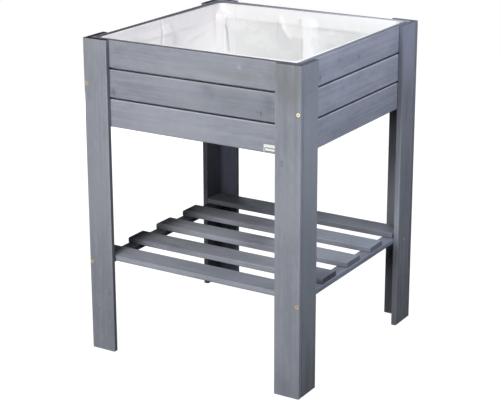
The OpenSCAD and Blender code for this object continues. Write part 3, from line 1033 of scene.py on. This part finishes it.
@dataclass
class Liner:
    """The fleece liner: floor, four walls and a hem folded out at the rim.

    Its outlines and the heights of its soft waves and ridges are in
    millimetres. The lower outlines bend round the battens, the base is a
    little rounder, and the upper ones run clear of the battens.
    """

    name: str = "fleece_liner_sheet"
    columns: int = 100
    thickness: float = 1.8 * MM
    floor_level: float = 620.3 * MM
    rim_level: float = 796.9 * MM
    rim_tilt: tuple[float, float] = (1.0 * MM, -1.5 * MM)
    rim_sway: float = 0.6
    wall_swell: float = 1.6
    wall_ripple: float = 0.7
    wall_ridge: float = 1.5
    floor_swell: float = 1.8
    floor_ridge: float = 1.6
    half_size: float = 270.7 * MM
    fillet: float = 12.0 * MM
    fold: float = 1.08 * MM
    hem: float = 35.0 * MM
    batten_top: float = 766.5 * MM
    batten_clear: float = 782.0 * MM
    floor_shade: float = 0.35
    fillet_steps: int = 5
    wall_steps: int = 48
    turn_steps: int = 6
    hem_steps: int = 8
    upper: QuarterOutline = QuarterOutline(
        Bend(0, 270.7), Bend(270.7, 270.7, 22.7), Bend(270.7, 0)
    )
    lower: QuarterOutline = QuarterOutline(
        Bend(0, 256.7),
        Bend(15.9, 256.7, 1.5),
        Bend(20, 270.7, 3),
        Bend(244, 270.7, 5),
        Bend(250.9, 250.9, 2),
        Bend(270.7, 244, 5),
        Bend(270.7, 27, 7),
        Bend(256.7, 15.6, 3),
        Bend(256.7, 0),
    )
    left_upper: QuarterOutline = QuarterOutline(
        Bend(0, 270.7), Bend(270.7, 270.7, 12), Bend(270.7, 0)
    )
    left_lower: QuarterOutline = QuarterOutline(
        Bend(0, 256.7),
        Bend(15.9, 256.7, 10),
        Bend(110, 270.7, 60),
        Bend(240, 270.7, 8),
        Bend(250.9, 250.9, 3),
        Bend(270.7, 240, 8),
        Bend(270.7, 27, 7),
        Bend(256.7, 15.6, 3),
        Bend(256.7, 0),
    )
    base: QuarterOutline = QuarterOutline(
        Bend(0, 256.7),
        Bend(15.9, 256.7, 1.5),
        Bend(21, 270.4, 4),
        Bend(230, 270.4, 20),
        Bend(250.5, 250.5, 5),
        Bend(270.4, 230, 20),
        Bend(270.4, 52, 30),
        Bend(256.7, 15.6, 6),
        Bend(256.7, 0),
    )
    creases: tuple[Crease, ...] = (
        Crease(Wall.BACK, (-82, 776), (-70, 738), 8, 2.0),
        Crease(Wall.BACK, (-70, 740), (-50, 718), 8, 1.6),
        Crease(Wall.BACK, (-180, 752), (-150, 757), 4, 0.9),
        Crease(Wall.BACK, (60, 742), (100, 748), 4, 0.8),
        Crease(Wall.BACK, (-140, 700), (-100, 714), 5, 1.2),
        Crease(Wall.LEFT, (-150, 780), (-120, 700), 6, 1.4),
        Crease(Wall.LEFT, (60, 760), (200, 752), 6, 1.2),
        Crease(Wall.LEFT, (100, 720), (210, 740), 7, 1.6),
        Crease(Wall.FRONT, (90, 770), (60, 660), 8, 2.4),
        Crease(Wall.FRONT, (-120, 780), (-150, 660), 7, 1.8),
        Crease(Wall.RIGHT, (-90, 770), (-70, 670), 8, 2.2),
        Crease(Wall.RIGHT, (110, 780), (150, 660), 8, 2.6),
    )
    # Painted highlights and painted shadow lines along the folds.
    folds: tuple[PaintedFold, ...] = (
        PaintedFold(Wall.LEFT, (-10, 799), (-10, 780), 2.8, "FFFEFA", 0.9),
        PaintedFold(Wall.LEFT, (-10, 784), (-25, 766), 2.8, "FFFEFA", 0.9),
        PaintedFold(Wall.LEFT, (-25, 769), (-25, 640), 2.8, "FFFEFA", 0.9),
        PaintedFold(Wall.LEFT, (-17.5, 792), (-17.5, 780), 2.4, "A9A8A0", 0.2),
        PaintedFold(Wall.LEFT, (-17.5, 784), (-32, 766), 2.4, "A9A8A0", 0.35),
        PaintedFold(Wall.LEFT, (-32, 769), (-32, 640), 2.8, "A9A8A0", 0.5),
        PaintedFold(Wall.BACK, (-222.7, 797), (-222.7, 640), 0.9, "C4C5C3", 0.5),
        PaintedFold(Wall.BACK, (-224.6, 797), (-224.6, 640), 0.9, "FAF9F6", 0.5),
        PaintedFold(Wall.BACK, (-247.0, 740), (-238.0, 664), 1.1, "A09D96", 0.65),
        PaintedFold(Wall.BACK, (-90, 764), (-94, 712), 3.0, "C4C5C3", 0.35),
        PaintedFold(Wall.BACK, (-80, 778), (-70, 742), 5.5, "FBFAF7", 0.9),
        PaintedFold(Wall.BACK, (-70, 744), (-50, 720), 5.0, "FBFAF7", 0.6),
    )

    def stations(self) -> list[Station]:
        """List the rings from the edge of the floor to the hem's free edge."""
        rings = []
        for step in range(1, self.fillet_steps + 1):
            turn = math.pi / 2 * step / self.fillet_steps
            height = self.floor_level + self.fillet * (1 - math.cos(turn))
            rings.append(Station(height, self.fillet * (1 - math.sin(turn))))
        start = self.floor_level + self.fillet
        # The wall steps inwards where the hem behind it begins.
        hem_end = self.rim_level - self.hem
        for step in range(1, self.wall_steps + 1):
            height = start + (self.rim_level - start) * step / self.wall_steps
            doubled = smooth(height, hem_end - 8 * MM, hem_end - 0.5 * MM)
            rings.append(Station(height, 0.0, 2 * self.fold * doubled))
        for step in range(1, self.turn_steps + 1):
            turn = math.pi * step / self.turn_steps
            height = self.rim_level + self.fold * math.sin(turn)
            lift = self.fold * (1 + math.cos(turn))
            rings.append(Station(height, 0.0, lift, step > self.turn_steps / 2))
        for step in range(1, self.hem_steps + 1):
            height = self.rim_level - self.hem * step / self.hem_steps
            rings.append(Station(height, behind=True))
        return rings

    def outline(self, run: float, height: float) -> Vector:
        """Give a point of the liner's outline at a height.

        Args:
            run: Place along the rim, 0 to 4, whole at the walls' middles.
            height: Height above the ground.

        Returns:
            The point in plan.
        """
        run = run % 4.0
        quarter = int(run)
        share = run - quarter
        left = quarter == Wall.LEFT.value
        lower = self.left_lower if left else self.lower
        upper = self.left_upper if left else self.upper
        base = self.left_lower if left else self.base
        low = base.at(share).lerp(
            lower.at(share), smooth(height, 640 * MM, 755 * MM)
        )
        bare = smooth(height, self.batten_top, self.batten_clear)
        along, depth = low.lerp(upper.at(share), bare)
        turned = Vector((along, -depth))
        for _ in range(quarter):
            turned = Vector((-turned.y, turned.x))
        return turned

    def inward(self, run: float, height: float) -> Vector:
        """Give the unit direction from the outline into the box."""
        step = 0.004
        ray = self.outline(run + step, height) - self.outline(run - step, height)
        return Vector((-ray.y, ray.x)).normalized()

    def wall_of(self, run: float) -> Wall:
        """Name the wall that a place along the rim belongs to."""
        return Wall(int((run + 0.5) % 4.0))

    def slack(self, run: float, spot: Vector, height: float) -> float:
        """Give how far the sheet stands off the wood at a point.

        Args:
            run: Place along the rim, 0 to 4.
            spot: The outline's point in plan.
            height: Height above the ground.

        Returns:
            The distance, never negative.
        """
        wall = self.wall_of(run)
        level = spot.x if wall in (Wall.FRONT, Wall.BACK) else spot.y
        # The doubled rim lies almost still.
        calm = 1.0 - 0.85 * smooth(height, 770 * MM, 795 * MM)
        # Waves of about 110 and 40 mm, and ridges where a third crosses 0.
        swell = wave(spot, 9, height * 7)
        ripple = wave(spot, 26, height * 6, (7, 3, 1))
        ridge = 1.0 - abs(wave(spot, 15, height * 5, (2, 8, 5)))
        rise = calm * (
            self.wall_swell * max(0.0, swell + 0.15)
            + self.wall_ripple * max(0.0, ripple)
            + self.wall_ridge * max(0.0, ridge - 0.72) / 0.28
        )
        for crease in self.creases:
            rise += crease.rise(wall, level / MM, height / MM)
        return rise * MM

    def build(self) -> None:
        """Build the sheet and put it in the place of the CAD bag."""
        shape = bmesh.new()
        backing = shape.verts.layers.float.new("backing")
        run_layer = shape.verts.layers.float.new("run")
        bmesh.ops.create_grid(
            shape, x_segments=self.columns, y_segments=self.columns, size=1.0
        )
        for vert in shape.verts:
            vert[run_layer] = self.run_of(vert.co.x, vert.co.y)
        ring = [edge for edge in shape.edges if edge.is_boundary]
        floor_verts = list(shape.verts)
        rings: list[tuple[Station, list[bmesh.types.BMVert]]] = []
        for station in self.stations():
            made = bmesh.ops.extrude_edge_only(shape, edges=ring)["geom"]
            fresh = [g for g in made if isinstance(g, bmesh.types.BMVert)]
            edges = [g for g in made if isinstance(g, bmesh.types.BMEdge)]
            known = set(fresh)
            ring = [edge for edge in edges if known.issuperset(edge.verts)]
            rings.append((station, fresh))
        for vert in floor_verts:
            self.place_floor(vert, run_layer, backing)
        for station, verts in rings:
            for vert in verts:
                self.place_wall(vert, station, run_layer, backing)
        bmesh.ops.recalc_face_normals(shape, faces=shape.faces)
        area = sum(face.calc_area() for face in shape.faces)
        for face in shape.faces:
            face.smooth = True
        mesh = bpy.data.meshes.new(self.name)
        shape.to_mesh(mesh)
        shape.free()
        liner = put_in_scene(self.name, mesh)
        solid = liner.modifiers.new("fleece_thickness", "SOLIDIFY")
        solid.thickness = self.thickness
        solid.offset = 0.0
        dress(liner, NeedledFleece(folds=self.folds).material())
        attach(liner, ROOT)
        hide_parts("fleece_liner")

    @staticmethod
    def run_of(across: float, up: float) -> float:
        """Give the place along the rim that a point of the floor faces.

        Args:
            across: The point's X on the flat grid, -1 to 1.
            up: The point's Y on the flat grid, -1 to 1.

        Returns:
            The place, 0 to 4, whole at the walls' middles.
        """
        nearly = 1 - 1e-6
        size = max(abs(across), abs(up))
        if size < 1e-9:
            return 0.0
        x, y = across / size, up / size
        if y <= -nearly:
            middle, share = 0.0, x
        elif x >= nearly:
            middle, share = 1.0, y
        elif y >= nearly:
            middle, share = 2.0, -x
        else:
            middle, share = 3.0, -y
        # The points stand closer together near the middles and the corners.
        finer = 0.04 * math.sin(2 * math.pi * share)
        return (middle + share / 2 - finer) % 4.0

    def place_floor(
        self,
        vert: bmesh.types.BMVert,
        run_layer: bmesh.types.BMLayerItem,
        backing: bmesh.types.BMLayerItem,
    ) -> None:
        """Move a point of the flat grid to its place on the floor.

        Args:
            vert: The point.
            run_layer: Layer that holds the place along the rim it faces.
            backing: Layer that takes the point's shade.
        """
        gauge = max(abs(vert.co.x), abs(vert.co.y))
        reach = 1.0 - self.fillet / self.half_size
        square = Vector((vert.co.x, vert.co.y)) * self.half_size * reach
        edge = self.outline(vert[run_layer], self.floor_level) * reach * gauge
        spot = square.lerp(edge, gauge * gauge)
        swell = max(0.0, wave(spot, 7, 0.3))
        ridge = max(0.0, 1.0 - abs(wave(spot, 17, 2.7)) - 0.75) / 0.25
        rise = self.floor_swell * swell + self.floor_ridge * ridge
        # The floor settles flat towards its edge.
        height = self.floor_level + rise * MM * (1.0 - gauge**6)
        vert[backing] = self.floor_shade
        vert.co = Vector((spot.x, spot.y, height))

    def place_wall(
        self,
        vert: bmesh.types.BMVert,
        station: Station,
        run_layer: bmesh.types.BMLayerItem,
        backing: bmesh.types.BMLayerItem,
    ) -> None:
        """Move a point of a ring to its place on the wall or the hem.

        Args:
            vert: The point.
            station: The ring's height, inset and lift.
            run_layer: Layer that holds the point's place along the rim.
            backing: Layer that takes the point's shade.
        """
        run = vert[run_layer]
        height = station.height
        spot = self.outline(run, height)
        inward = self.inward(run, height)
        slack = self.slack(run, spot, height)
        if station.inset:
            slack *= 1.0 - station.inset / self.fillet
        spot = spot + inward * (slack + station.lift)
        spot = spot * (1.0 - station.inset / self.half_size)
        vert[backing] = 0.0 if station.behind else self.shade(run, spot, height)
        sway = wave(spot, 11, 4.2) * self.rim_sway * MM
        tilt = Vector(self.rim_tilt).dot(spot) / self.half_size + sway
        height += tilt * smooth(station.height, 740 * MM, 790 * MM)
        vert.co = Vector((spot.x, spot.y, height))

    def shade(self, run: float, spot: Vector, height: float) -> float:
        """Give the painted shade of the sheet at a point.

        It is 0 where the sheet is white, 1 where it lies close to the wood, a grey
        that is partly the wood showing through and partly painted shade, and 2 in a
        crease, painted shade there. On the left wall, which the light from the right
        reaches, it is -1 where that light is painted on as a warm white and -2 where
        painted shade dims it.

        Args:
            run: Place along the rim, 0 to 4.
            spot: The point in plan.
            height: Height above the ground.

        Returns:
            The shade, -2 to 2.
        """
        wall = self.wall_of(run)
        flat = wall in (Wall.FRONT, Wall.BACK)
        left = wall is Wall.LEFT
        level = (spot.x if flat else spot.y) / MM
        drop = max(0.0, self.batten_top - height) / MM
        # A single layer below the hem greys a little, partly as the wood showing
        # through and partly as painted shade; the rim greys less.
        below = 1.0 - smooth(height, 757 * MM, 764 * MM)
        upper = 1.0 - smooth(height, 776 * MM, 797 * MM)
        tone = max(below * (0.75 + 0.005 * drop), 0.25 * upper)
        if left:
            # Painted half shade dims the sag at the hem's end and the back corner.
            step = smooth(height, 764 * MM, 770 * MM)
            step *= 1.0 - smooth(height, 780 * MM, 788 * MM)
            step *= smooth(level, -130, -70) * (1.0 - smooth(level, -40, -5))
            tone = -1.0 - 0.5 * step - 0.45 * smooth(level, 205, 240)
        else:
            # Over the middle batten the sheet stands free, so it is white.
            band = smooth(level, -8, -4) * (1.0 - smooth(level, 11, 17 + 0.1 * drop))
            sliver = smooth(-level, 14, 16) * (1.0 - smooth(-level, 22, 26))
            tone *= 1.0 - max(band, sliver * below)
        if wall is Wall.BACK:
            # A round pocket of air left of the middle is whiter too.
            pocket = math.hypot((level + 30) / 50, (height / MM - 774) / 51)
            tone *= 0.4 + 0.6 * smooth(pocket, 0.9, 1.08)
        if height > self.batten_clear:
            return tone
        # A facet bridges each corner batten; painted shade greys it most beside its
        # middle, and on the left wall dims the painted light.
        corner = (Vector((abs(spot.x), abs(spot.y))) - Vector((0.251, 0.251))).length
        reach = (2.5 + 0.13 * drop) * MM
        edge = 1.0 - smooth(corner, 0.7 * reach, 1.5 * reach)
        facet = 1.0 - smooth(corner, 14 * MM, 30 * MM)
        facet *= 1.0 - smooth(height, 735 * MM, 762 * MM)
        tone += ((-2.0 if left else 1.3) - tone) * facet
        return tone if left else tone + (1.0 - tone) * edge * facet


@dataclass(frozen=True)
class Leg:
    """A leg of two boards: tones, the inner edge, the sawn ends and sheens."""

    corner: str
    face_tone: float = 1.0
    side_tone: float = 1.0
    inner_edge: float = 1.0
    end_share: float = 1.0
    face_sheen: float = 1.0
    side_sheen: float = 1.0

    def boards(self) -> list[Board]:
        """List the leg's face board and its side board."""
        face = Board(
            f"{self.corner}_leg_face",
            Grain.Z_FACE_X,
            self.face_tone,
            self.inner_edge,
            end_share=self.end_share,
            sheen=self.face_sheen,
        )
        side = Board(
            f"{self.corner}_leg_side",
            Grain.Z_FACE_Y,
            self.side_tone,
            end_share=self.end_share,
            sheen=self.side_sheen,
        )
        return [face, side]


@dataclass(frozen=True)
class BoxWall:
    """A wall of three boards: its rim's tone and the boards' tones, top first.

    The edges inside the gaps between the boards are painted dark as the shade in
    the gaps, and a rim's tone under 1 paints shade on its top face.
    """

    side: str
    rim: float
    tones: tuple[float, float, float] = (1.0, 1.0, 1.0)
    gap_shade: float = 0.4

    def boards(self) -> list[Board]:
        """List the wall's boards from the top down."""
        flat = self.side in ("front", "back")
        grain = Grain.X_FACE_Z if flat else Grain.Y_FACE_Z
        top, middle, bottom = self.tones
        name, gap = f"{self.side}_wall", self.gap_shade
        return [
            Board(f"{name}_top", grain, top, self.rim, gap, rim=True),
            Board(f"{name}_middle", grain, middle, gap, gap),
            Board(f"{name}_bottom", grain, bottom, gap),
        ]


@dataclass
class Bed:
    """The wooden bed: legs, walls, inner frame, shelf, screws and label.

    The slats have a tone and a share of their ends, from the back to the
    front, and the rails a tone and the level of their upper edge.
    """

    first_stained_seed: int = 10
    first_raw_seed: int = 70
    # Painted shade: the back legs' tones under 1 and the front left leg's darker inner
    # edge.
    legs: tuple[Leg, ...] = (
        Leg("front_left", inner_edge=0.6),
        Leg("front_right", face_tone=1.04, end_share=0.7),
        Leg("back_left", side_tone=0.88, face_sheen=0.2, side_sheen=0.2),
        Leg(
            "back_right",
            face_tone=0.8,
            side_tone=0.81,
            end_share=0.4,
            face_sheen=0.2,
        ),
    )
    walls: tuple[BoxWall, ...] = (
        BoxWall("front", 0.22, (1.03, 1.01, 1.13)),
        BoxWall("back", 0.55),
        BoxWall("left", 0.1),
        BoxWall("right", 0.42, (1.05, 1.12, 1.05)),
    )
    # Slat and rail tones are partly the boards' own shades and partly painted light and
    # shade: the left rail's 0.28 is painted shade, and the right rail's outer face is
    # painted lighter.
    slats: tuple[tuple[float, float], ...] = (
        (1.1, 0.45),
        (1.12, 0.1),
        (1.03, 0.1),
        (0.94, 0.45),
        (0.85, 0.95),
    )
    # Painted highlight on the slats' front edges.
    slat_front_edge_light: float = 1.3
    rails: tuple[tuple[str, float, float], ...] = (
        ("left", 0.28, 1.0),
        ("right", 1.05, 1.38),
    )
    hidden_screws: tuple[str, ...] = (
        "wall_leg_screws",
        "corner_batten_screws",
        "middle_batten_screws",
        "bearer_screws",
        "floor_screws",
        "shelf_slat_screws",
    )

    def dress(self) -> None:
        """Dress every CAD node that stays."""
        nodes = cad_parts
        for finish, first_seed, boards in (
            (STAINED_PINE, self.first_stained_seed, self.stained_boards()),
            (RAW_PINE, self.first_raw_seed, self.raw_boards()),
        ):
            for seed, board in enumerate(boards, start=first_seed):
                dress(nodes[board.node], finish.material(board, seed))
                LOG.info("dressed %s", board.node)
        for name, plating in self.platings().items():
            dress(nodes[name], plating)
            LOG.info("dressed %s", name)
        dress(nodes["blank_label"], LabelFilm().material())
        LOG.info("dressed blank_label")

    def platings(self) -> dict[str, bpy.types.Material]:
        """Make the plating of the screws by their nodes' names."""
        # Lit and shaded copies of one plating: the rail screws are darkened as painted
        # shade, and both are browned by painted shade on the left and low down.
        edge = YellowZinc(
            "yellow_zinc_lit", shade_browning=0.6, middles=((293, 689), (293, 232))
        )
        rail = YellowZinc(
            "yellow_zinc_shaded",
            dull=0.28,
            shade_browning=0.3,
            axes=("Y", "Z"),
            middles=((252, 232),),
        )
        platings = {
            "leg_edge_screws": edge.material(),
            "shelf_rail_screws": rail.material(),
        }
        return platings | dict.fromkeys(self.hidden_screws, YellowZinc().material())

    def stained_boards(self) -> list[Board]:
        """List the legs, walls, slats and rails with their looks."""
        boards = [board for part in self.legs + self.walls for board in part.boards()]
        for index, (tone, ends) in enumerate(self.slats, start=1):
            slat = Board(
                f"shelf_slat_{index}",
                Grain.X_FACE_Y,
                tone,
                low_edge=self.slat_front_edge_light / tone,
                end_share=ends,
                sheen=0.0,
            )
            boards.append(slat)
        for side, tone, upper in self.rails:
            name = f"shelf_rail_{side}"
            boards.append(Board(name, Grain.Y_FACE_X, tone, upper, sheen=0.0))
        return boards

    def raw_boards(self) -> list[Board]:
        """List the battens, bearers and floor boards."""
        grains = {f"corner_batten_{corner}": Grain.Z_FACE_X for corner in CORNERS}
        for side in SIDES:
            flat = side in ("front", "back")
            grains[f"middle_batten_{side}"] = Grain.Z_FACE_X if flat else Grain.Z_FACE_Y
        for side in ("front", "back"):
            grains[f"floor_bearer_{side}"] = Grain.X_FACE_Z
        for index in range(1, 8):
            grains[f"floor_board_{index}"] = Grain.Y_FACE_X
        return [Board(name, grain) for name, grain in grains.items()]


@dataclass(frozen=True)
class Lamp:
    """A soft square lamp."""

    name: str
    place: tuple[float, float, float]
    target: tuple[float, float, float]
    size: float
    power: float
    colour: str

    def build(self) -> None:
        """Hang the lamp and aim it."""
        data = bpy.data.lights.new(self.name, "AREA")
        data.shape = "SQUARE"
        data.size = self.size
        data.energy = self.power
        data.color = linear(self.colour)[:3]
        lamp = put_in_scene(self.name, data)
        lamp.location = self.place
        aim = Vector(self.target) - Vector(self.place)
        lamp.rotation_euler = aim.to_track_quat("-Z", "Y").to_euler()


@dataclass
class Studio:
    """Camera, soft lamps and a pale floor."""

    camera_place: tuple[float, float, float] = (1.8427673, -3.0537181, 1.5287842)
    yaw: float = -0.5464
    pitch: float = 0.2935
    roll: float = -0.0016
    focal_px: float = 1477.4795
    image_px: tuple[int, int] = (500, 400)
    centre_row: float = 165.0
    sensor_mm: float = 36.0
    farthest: float = 100.0
    ambient: float = 0.02
    floor_reach: float = 15.0
    floor_glow: float = 1.21
    floor_glow_share: float = 0.82
    lamps: tuple[Lamp, ...] = (
        Lamp("front_softbox", (0.3, -2.4, 2.4), (0, 0, 0.6), 1.0, 61.0, "FFFFFF"),
        Lamp("front_fill", (-0.3, -1.7, 0.9), (0, 0, 0.6), 0.9, 6.5, "FFFFFF"),
        Lamp("right_softbox", (0.95, 0.1, 1.35), (0.2, 0, 0.75), 0.5, 6.1, "E7EEFF"),
        Lamp("right_fill", (0.95, -0.45, 1.3), (0.2, 0, 0.7), 0.5, 3.5, "E7EEFF"),
        Lamp("back_softbox", (-1.7, 2.1, 1.5), (0, 0, 0.5), 1.2, 32.0, "FFFFFF"),
        Lamp("back_fill", (-1.9, 1.9, 0.26), (0, 0, 0.4), 0.5, 34.0, "FFFFFF"),
    )

    def build(self) -> None:
        """Make the camera, the lamps, the world and the floor."""
        self.build_camera()
        self.build_world()
        for lamp in self.lamps:
            lamp.build()
        self.build_floor()
        bpy.context.scene.view_settings.view_transform = "Standard"
        LOG.info("studio ready")

    def build_camera(self) -> None:
        """Place the camera where it stood for the photograph."""
        data = bpy.data.cameras.new("camera")
        data.sensor_width = self.sensor_mm
        data.lens = self.focal_px / self.image_px[0] * self.sensor_mm
        data.shift_y = (self.centre_row - self.image_px[1] / 2) / self.image_px[0]
        data.clip_end = self.farthest
        camera = put_in_scene("camera", data)
        forward = Vector(
            (
                math.sin(self.yaw) * math.cos(self.pitch),
                math.cos(self.yaw) * math.cos(self.pitch),
                -math.sin(self.pitch),
            )
        )
        level = Vector((math.cos(self.yaw), -math.sin(self.yaw), 0.0))
        upright = level.cross(forward)
        right = level * math.cos(self.roll) + upright * math.sin(self.roll)
        up = upright * math.cos(self.roll) - level * math.sin(self.roll)
        columns = Matrix((right, up, -forward)).transposed()
        camera.matrix_world = Matrix.Translation(self.camera_place) @ columns.to_4x4()
        bpy.context.scene.camera = camera

    @staticmethod
    def looked_at(add: Adder) -> Node:
        """Give 1 for rays from the camera, a mirror or a clear pane."""
        rays = add("LightPath").outputs
        seen = rays["Is Camera Ray"]
        for ray in ("Is Glossy Ray", "Is Transmission Ray"):
            seen = add("Math", seen, rays[ray], operation="MAXIMUM")
        return seen

    def build_world(self) -> None:
        """Make a dim surround that the camera and reflections see as white."""
        world = bpy.data.worlds.new("surround")
        bpy.context.scene.world = world
        add = cleared(world)
        dim = add("Background", "DDE2EA", self.ambient)
        white = add("Background", "FFFFFF", 1.0)
        add("OutputWorld", add("MixShader", self.looked_at(add), dim, white))

    def build_floor(self) -> None:
        """Lay the pale floor, which keeps a soft shadow."""
        mesh = bpy.data.meshes.new("floor")
        shape = bmesh.new()
        bmesh.ops.create_grid(
            shape, x_segments=1, y_segments=1, size=self.floor_reach
        )
        shape.to_mesh(mesh)
        shape.free()
        floor = put_in_scene("floor", mesh)
        material = bpy.data.materials.new("pale_studio_floor")
        add = cleared(material)
        dull = add("BsdfDiffuse", "5C5C5C")
        matt = add("BsdfDiffuse", "F0F0F0")
        white = add("Emission", "FFFFFF", self.floor_glow)
        pale = add("MixShader", self.floor_glow_share, matt, white)
        add("OutputMaterial", add("MixShader", self.looked_at(add), dull, pale))
        dress(floor, material)


def main() -> None:
    """Build and dress the garden bed, then light it."""
    Studio().build()
    Bed().dress()
    Liner().build()


if __name__ == "__main__":
    logging.basicConfig(level=logging.INFO, format="%(name)s: %(message)s")
    main()
